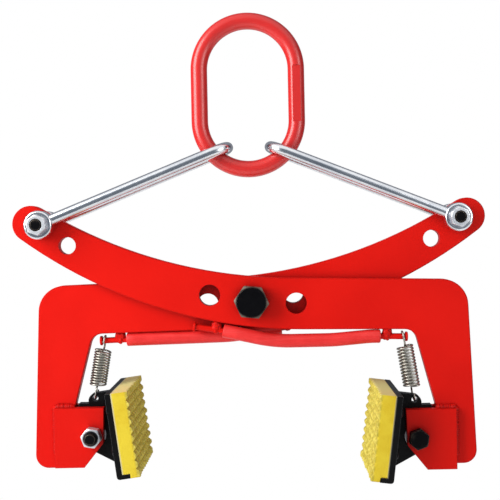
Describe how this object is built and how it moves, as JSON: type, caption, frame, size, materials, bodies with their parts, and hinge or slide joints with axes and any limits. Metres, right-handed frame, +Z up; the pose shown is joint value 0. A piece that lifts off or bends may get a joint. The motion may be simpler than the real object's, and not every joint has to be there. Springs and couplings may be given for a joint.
{
  "type": "scissor_lifting_clamp",
  "caption": "Scissor lifting clamp for kerbs and blocks: crossed red arms hung on hairpin links from an oblong ring, with sprung black jaws and toothed yellow grips.",
  "frame": {"origin": "the hook seat, the lowest point of the inside of the master link's upper bend that a hook bears on", "axes": "+X to the right as seen from the front, +Y away from the front through the clamp, +Z up along the hanging line"},
  "size_m": [0.47, 0.1028, 0.4584],
  "materials": {
    "arm_paint": "bright red gloss paint on plate and rod",
    "ring_paint": "red powder coat on round bar",
    "zinc": "bright zinc plating",
    "black_steel": "black oxide with worn edges",
    "jaw_paint": "satin black paint",
    "sleeve_rubber": "smooth red hose",
    "grip_urethane": "yellow cast polyurethane",
    "spring_steel": "bare spring wire"
  },
  "bodies": {
    "ring": {"master_link": "ring_paint"},
    "left_link_body": {"left_link": "zinc"},
    "front_arm_body": {"front_arm": "arm_paint", "left_link_bolt": "black_steel", "left_link_nut": "zinc", "left_link_spacers": "zinc", "pivot_bolt": "black_steel", "pivot_nut": "black_steel", "pivot_washers": "black_steel", "pivot_spacer": "zinc", "front_handle_rod": "arm_paint", "front_handle_sleeve": "sleeve_rubber", "front_handle_welds": "arm_paint", "right_bracket_outer": "arm_paint", "right_bracket_inner": "arm_paint", "right_bracket_welds": "arm_paint", "right_jaw_bolt": "black_steel", "right_jaw_nut": "zinc", "right_jaw_washers": "zinc", "right_spring": "spring_steel"},
    "rear_arm_body": {"rear_arm": "arm_paint", "right_link_bolt": "black_steel", "right_link_nut": "zinc", "right_link_spacers": "zinc", "rear_handle_rod": "arm_paint", "rear_handle_sleeve": "sleeve_rubber", "rear_handle_welds": "arm_paint", "left_bracket_outer": "arm_paint", "left_bracket_inner": "arm_paint", "left_bracket_welds": "arm_paint", "left_jaw_bolt": "black_steel", "left_jaw_nut": "zinc", "left_jaw_washers": "zinc", "left_spring": "spring_steel"},
    "right_link_body": {"right_link": "zinc"},
    "right_jaw": {"right_jaw_gusset": "jaw_paint", "right_jaw_backplate": "jaw_paint", "right_grip_block": "grip_urethane", "right_block_screws": "black_steel"},
    "left_jaw": {"left_jaw_gusset": "jaw_paint", "left_jaw_backplate": "jaw_paint", "left_grip_block": "grip_urethane", "left_block_screws": "black_steel"}
  },
  "joints": [
    {"name": "left_link_swing", "type": "hinge", "parent": "ring", "child": "left_link_body", "pos_m": [-0.02126, 0, -0.11798], "axis": [0, -1, 0], "range_deg": [-8.6, 26.8]},
    {"name": "left_eye", "type": "hinge", "parent": "left_link_body", "child": "front_arm_body", "pos_m": [-0.20556, -0.006, -0.19169], "axis": [0, -1, 0], "range_deg": [-51.8, 16.6]},
    {"name": "arm_pivot", "type": "hinge", "parent": "front_arm_body", "child": "rear_arm_body", "pos_m": [0, 0, -0.27098], "axis": [0, -1, 0], "range_deg": [-16, 50]},
    {"name": "right_eye", "type": "hinge", "parent": "rear_arm_body", "child": "right_link_body", "pos_m": [0.20556, 0.006, -0.19169], "axis": [0, -1, 0], "range_deg": [-51.8, 16.6]},
    {"name": "right_jaw_swing", "type": "hinge", "parent": "front_arm_body", "child": "right_jaw", "pos_m": [0.1605, -0.006, -0.40748], "axis": [0, -1, 0], "range_deg": [-4, 32], "stiffness_Nm_per_rad": 4, "springref_deg": -2.95, "deforming": ["right_spring"]},
    {"name": "left_jaw_swing", "type": "hinge", "parent": "rear_arm_body", "child": "left_jaw", "pos_m": [-0.1605, 0.006, -0.40218], "axis": [0, 1, 0], "range_deg": [-4, 32], "stiffness_Nm_per_rad": 4, "springref_deg": -2.95, "deforming": ["left_spring"]}
  ],
  "couplings": [
    {"joint": "left_link_swing", "follows": "arm_pivot", "ratio": 0.53475},
    {"joint": "left_eye", "follows": "arm_pivot", "ratio": -1.0347},
    {"joint": "right_eye", "follows": "arm_pivot", "ratio": -1.0347}
  ]
}
